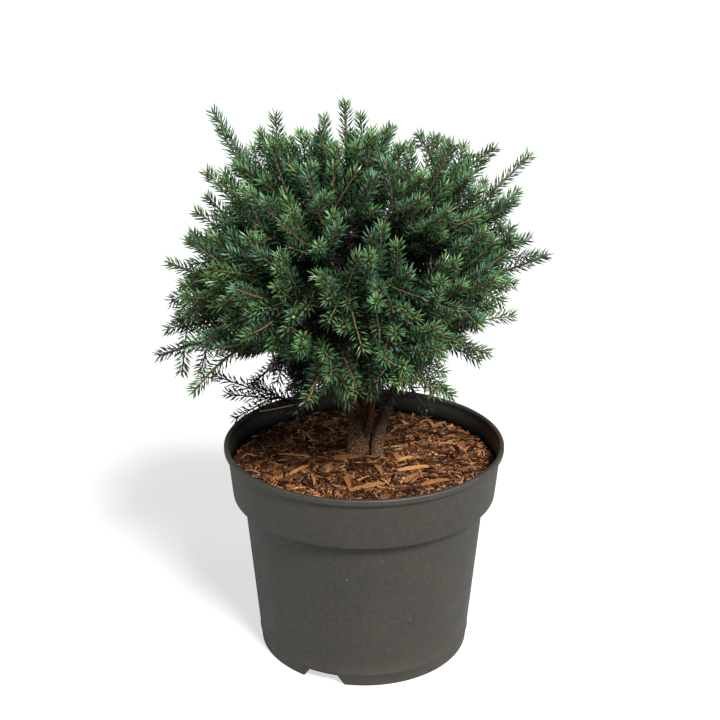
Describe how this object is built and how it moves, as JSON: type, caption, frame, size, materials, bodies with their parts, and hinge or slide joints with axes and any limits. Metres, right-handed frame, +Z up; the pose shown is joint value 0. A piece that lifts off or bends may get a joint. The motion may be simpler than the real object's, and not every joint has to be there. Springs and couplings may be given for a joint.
{
  "type": "potted dwarf white spruce",
  "caption": "Dwarf conifer with a dense broad globe of short stiff needled shoots on a short trunk, in a round grey plastic nursery container topped with shredded bark mulch.",
  "frame": {"origin": "middle of the pot's flat underside", "axes": "+Z up along the pot's axis, -Y towards the pictured front, +X towards the picture's right"},
  "size_m": [0.3651, 0.3097, 0.5119],
  "materials": {
    "pot": "matte moulded plastic, dark warm grey",
    "mulch": "shredded bark, dry and rough",
    "bark": "rough scaly bark",
    "needles": "waxy green needles"
  },
  "bodies": {
    "root": {"pot": "pot", "mulch_bed": "mulch", "trunk": "bark", "bough_crest_1": "bark", "bough_crest_2": "bark", "bough_crest_3": "bark", "bough_crest_4": "bark", "bough_crest_5": "bark", "bough_low_1": "bark", "bough_low_2": "bark", "bough_low_3": "bark", "bough_low_4": "bark", "bough_low_5": "bark", "bough_low_6": "bark", "bough_low_7": "bark", "bough_low_8": "bark", "bough_middle_1": "bark", "bough_middle_2": "bark", "bough_middle_3": "bark", "bough_middle_4": "bark", "bough_middle_5": "bark", "bough_middle_6": "bark", "bough_middle_7": "bark", "bough_middle_8": "bark", "bough_skirt_1": "bark", "bough_skirt_2": "bark", "bough_skirt_3": "bark", "bough_skirt_4": "bark", "foliage_crest_1": "needles", "foliage_crest_2": "needles", "foliage_crest_3": "needles", "foliage_crest_4": "needles", "foliage_crest_5": "needles", "foliage_low_1": "needles", "foliage_low_2": "needles", "foliage_low_3": "needles", "foliage_low_4": "needles", "foliage_low_5": "needles", "foliage_low_6": "needles", "foliage_low_7": "needles", "foliage_low_8": "needles", "foliage_middle_1": "needles", "foliage_middle_2": "needles", "foliage_middle_3": "needles", "foliage_middle_4": "needles", "foliage_middle_5": "needles", "foliage_middle_6": "needles", "foliage_middle_7": "needles", "foliage_middle_8": "needles", "foliage_skirt_1": "needles", "foliage_skirt_2": "needles", "foliage_skirt_3": "needles", "foliage_skirt_4": "needles", "foliage_top_1": "needles"}
  },
  "joints": []
}
